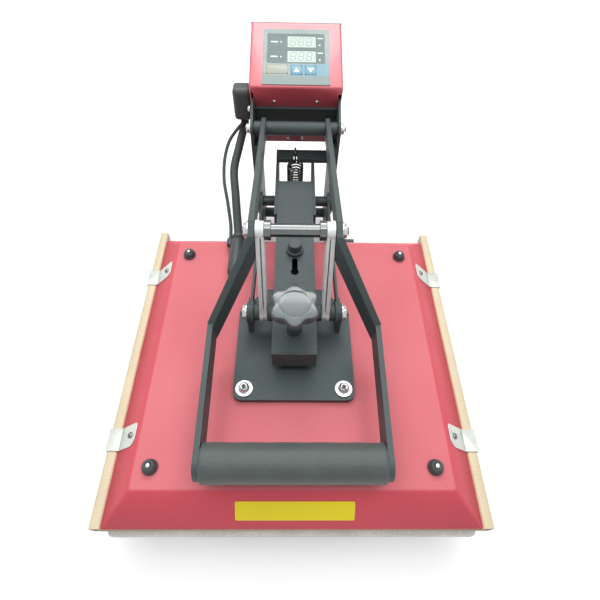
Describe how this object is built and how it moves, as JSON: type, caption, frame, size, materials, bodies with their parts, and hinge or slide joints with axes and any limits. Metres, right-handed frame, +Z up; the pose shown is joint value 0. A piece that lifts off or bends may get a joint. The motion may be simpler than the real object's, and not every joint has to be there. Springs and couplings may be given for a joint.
{
  "type": "flat heat press",
  "caption": "Clamshell flat heat press with a hinged square heat platen, a U-shaped lever handle on links, a pressure knob, a lift spring and a tilted digital control box.",
  "frame": {"origin": "middle of the bounding box's lowest face, on the floor under the feet", "axes": "+X to the right of someone facing the press, +Y to the rear, +Z up"},
  "size_m": [0.4272, 0.6632, 0.3194],
  "materials": {
    "black_steel": "satin powder coat",
    "black_plastic": "moulded",
    "lead_sleeve": "braided sleeve",
    "foot_rubber": "matte",
    "silicone": "matte sponge",
    "platen_metal": "machined",
    "bright_steel": "plated",
    "zinc_plate": "bright zinc",
    "spring_steel": "oiled black",
    "red_paint": "satin",
    "panel_film": "printed film",
    "display_glass": "unlit display window",
    "coated_cloth": "coated glass cloth",
    "grip_foam": "foam",
    "knob_plastic": "moulded",
    "key_film": "printed film",
    "key_blue": "printed film",
    "rocker_plastic": "moulded"
  },
  "bodies": {
    "frame": {"base_rail_left": "black_steel", "base_rail_right": "black_steel", "base_cross_front": "black_steel", "base_cross_rear": "black_steel", "rail_caps": "black_plastic", "rubber_feet": "foot_rubber", "lower_platen": "platen_metal", "silicone_pad": "silicone", "left_upright": "black_steel", "right_upright": "black_steel", "rear_tie": "black_steel", "left_cheek": "black_steel", "right_cheek": "black_steel", "bracket_plate": "black_steel", "handle_pivot_bolt": "bright_steel", "arm_pivot_bolt": "bright_steel", "control_box": "red_paint", "box_back": "black_steel", "control_panel": "panel_film", "displays": "display_glass", "power_inlet": "black_plastic", "cable_housing": "black_plastic", "heater_lead": "lead_sleeve", "sensor_lead": "lead_sleeve", "lift_spring": "spring_steel"},
    "arm": {"beam": "black_steel", "beam_cap": "black_plastic", "left_tail_plate": "black_steel", "right_tail_plate": "black_steel", "tail_crossbar": "black_steel", "arm_hub": "black_steel", "stop_boss": "black_plastic", "mounting_plate": "black_steel", "left_ear": "black_steel", "right_ear": "black_steel", "press_shaft": "bright_steel", "shaft_spacers": "black_steel", "plate_bolts": "bright_steel", "heat_cover": "red_paint", "heat_platen": "platen_metal", "standoffs": "bright_steel", "cover_caps": "black_plastic", "sheet_clips": "bright_steel", "protective_sheet": "coated_cloth", "lead_boot": "black_plastic"},
    "handle": {"left_handle_bar": "black_steel", "right_handle_bar": "black_steel", "grip": "grip_foam", "grip_core": "bright_steel", "pivot_tube": "black_steel", "cross_rod": "bright_steel", "rod_collars": "zinc_plate"},
    "links": {"left_links": "zinc_plate", "right_links": "zinc_plate"},
    "knob": {"pressure_knob": "knob_plastic", "pressure_screw": "bright_steel"},
    "set_key": {"key_set": "key_film"},
    "up_key": {"key_up": "key_blue"},
    "down_key": {"key_down": "key_blue"},
    "rocker": {"power_rocker": "rocker_plastic"}
  },
  "joints": [
    {"name": "arm_hinge", "type": "hinge", "parent": "frame", "child": "arm", "pos_m": [0, 0.13243, 0.129], "axis": [-1, 0, 0], "range_deg": [0, 60], "deforming": ["lift_spring", "heater_lead", "sensor_lead"]},
    {"name": "handle_hinge", "type": "hinge", "parent": "frame", "child": "handle", "pos_m": [0, 0.16343, 0.237], "axis": [-1, 0, 0], "range_deg": [0, 60]},
    {"name": "link_hinge", "type": "hinge", "parent": "handle", "child": "links", "pos_m": [0, -0.07257, 0.277], "axis": [1, 0, 0], "range_deg": [0, 60]},
    {"name": "knob_turn", "type": "hinge", "parent": "arm", "child": "knob", "pos_m": [0, -0.13657, 0.227], "axis": [0, 0, 1], "continuous": true},
    {"name": "set_key_press", "type": "slide", "parent": "frame", "child": "set_key", "axis": [0, 0.309, -0.9511], "range_m": [0, 0.001], "stiffness_N_per_m": 200, "springref_m": -0.001},
    {"name": "up_key_press", "type": "slide", "parent": "frame", "child": "up_key", "axis": [0, 0.309, -0.9511], "range_m": [0, 0.001], "stiffness_N_per_m": 200, "springref_m": -0.001},
    {"name": "down_key_press", "type": "slide", "parent": "frame", "child": "down_key", "axis": [0, 0.309, -0.9511], "range_m": [0, 0.001], "stiffness_N_per_m": 200, "springref_m": -0.001},
    {"name": "rocker_tip", "type": "hinge", "parent": "frame", "child": "rocker", "pos_m": [-0.03, 0.30804, 0.26568], "axis": [-1, 0, 0], "range_deg": [0, 16]}
  ],
  "couplings": [
    {"joint": "handle_hinge", "follows": "arm_hinge", "ratio": 1},
    {"joint": "link_hinge", "follows": "arm_hinge", "ratio": 1}
  ]
}
